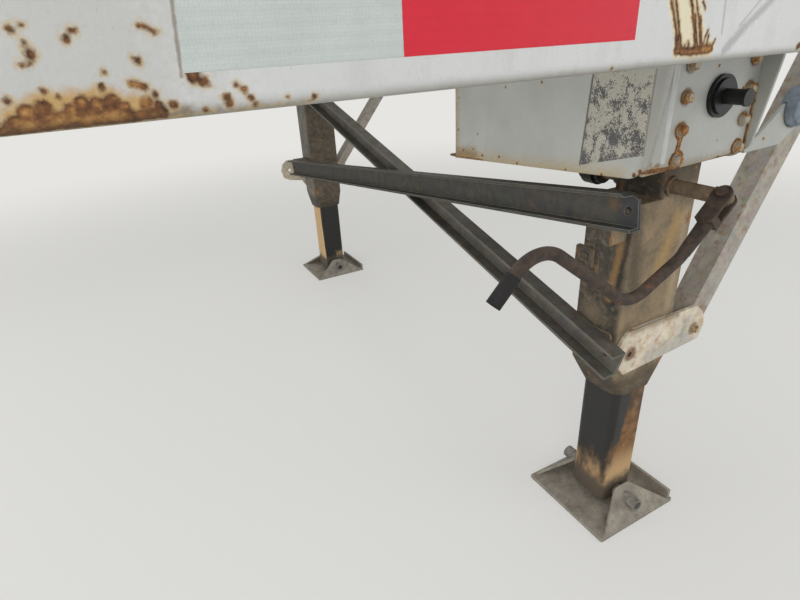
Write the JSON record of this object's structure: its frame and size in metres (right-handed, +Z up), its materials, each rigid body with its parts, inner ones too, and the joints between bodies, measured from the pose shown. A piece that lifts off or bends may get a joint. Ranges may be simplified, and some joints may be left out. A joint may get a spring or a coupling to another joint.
{
  "type": "semi trailer landing gear with its section of frame",
  "caption": "Section of a trailer's frame on two telescopic legs with rocking feet, cross and drag braces, a cross shaft and a folding crank.",
  "frame": {"origin": "middle of the crossmember above the legs, on its top face, where the rest of the trailer joins on", "axes": "+X to the trailer's rear, +Y from the near (crank) side to the far side, +Z up"},
  "size_m": [1.8, 2.438, 1.275],
  "materials": {
    "white_paint": "weathered gloss with rust",
    "galvanised": "dull galvanised",
    "weathered_steel": "weathered grey paint over rust",
    "greased_steel": "greasy with rust low down",
    "foot_steel": "dull dark zinc",
    "black_paint": "satin",
    "rusty_steel": "brown rust"
  },
  "bodies": {
    "frame": {"near_side_rail": "white_paint", "far_side_rail": "white_paint", "near_mount_box": "white_paint", "far_mount_box": "white_paint", "near_bolt_plate": "white_paint", "far_bolt_plate": "white_paint", "near_rear_gusset": "white_paint", "far_rear_gusset": "white_paint", "crossmember_1": "white_paint", "crossmember_2": "white_paint", "crossmember_3": "white_paint", "crossmember_4": "white_paint", "crossmember_5": "white_paint", "crossmember_6": "white_paint", "crossmember_7": "white_paint", "near_brace_hanger": "white_paint", "far_brace_hanger": "white_paint", "cross_brace_channel": "galvanised", "cross_brace_angle": "galvanised", "near_drag_brace": "galvanised", "far_drag_brace": "galvanised", "near_brace_bracket": "galvanised", "far_brace_bracket": "galvanised", "near_upper_leg": "weathered_steel", "far_upper_leg": "weathered_steel", "near_flanged_stub": "black_paint"},
    "near_leg": {"near_lower_leg": "greased_steel", "near_foot_pin": "foot_steel"},
    "far_leg": {"far_lower_leg": "greased_steel", "far_foot_pin": "foot_steel"},
    "near_shoe": {"near_foot": "foot_steel"},
    "far_shoe": {"far_foot": "foot_steel"},
    "cross_drive": {"cross_shaft": "rusty_steel", "cross_shaft_coupling": "black_paint"},
    "crank": {"crank_shaft": "rusty_steel", "crank_pivot_pin": "rusty_steel", "crank_shaft_cap": "black_paint"},
    "crank_arm": {"crank_handle": "rusty_steel", "crank_grip": "rusty_steel"}
  },
  "joints": [
    {"name": "near_leg_slide", "type": "slide", "parent": "frame", "child": "near_leg", "axis": [0, 0, 1], "range_m": [-0.075, 0.27]},
    {"name": "far_leg_slide", "type": "slide", "parent": "frame", "child": "far_leg", "axis": [0, 0, 1], "range_m": [-0.075, 0.27]},
    {"name": "near_foot_rock", "type": "hinge", "parent": "near_leg", "child": "near_shoe", "pos_m": [0, -0.942, -1.233], "axis": [0, 1, 0], "range_deg": [-20, 20]},
    {"name": "far_foot_rock", "type": "hinge", "parent": "far_leg", "child": "far_shoe", "pos_m": [0, 0.942, -1.233], "axis": [0, 1, 0], "range_deg": [-20, 20]},
    {"name": "crank_turn", "type": "hinge", "parent": "frame", "child": "crank", "pos_m": [0, -1.042, -0.438], "axis": [0, 1, 0], "range_deg": [-200, 40]},
    {"name": "cross_shaft_turn", "type": "hinge", "parent": "frame", "child": "cross_drive", "pos_m": [0.028, 0, -0.275], "axis": [0, 1, 0], "range_deg": [-200, 40]},
    {"name": "crank_fold", "type": "hinge", "parent": "crank", "child": "crank_arm", "pos_m": [0, -1.107, -0.438], "axis": [-0.6958, 0, 0.7182], "range_deg": [0, 90]}
  ],
  "couplings": [
    {"joint": "far_leg_slide", "follows": "near_leg_slide", "ratio": 1},
    {"joint": "cross_shaft_turn", "follows": "crank_turn", "ratio": 1}
  ]
}
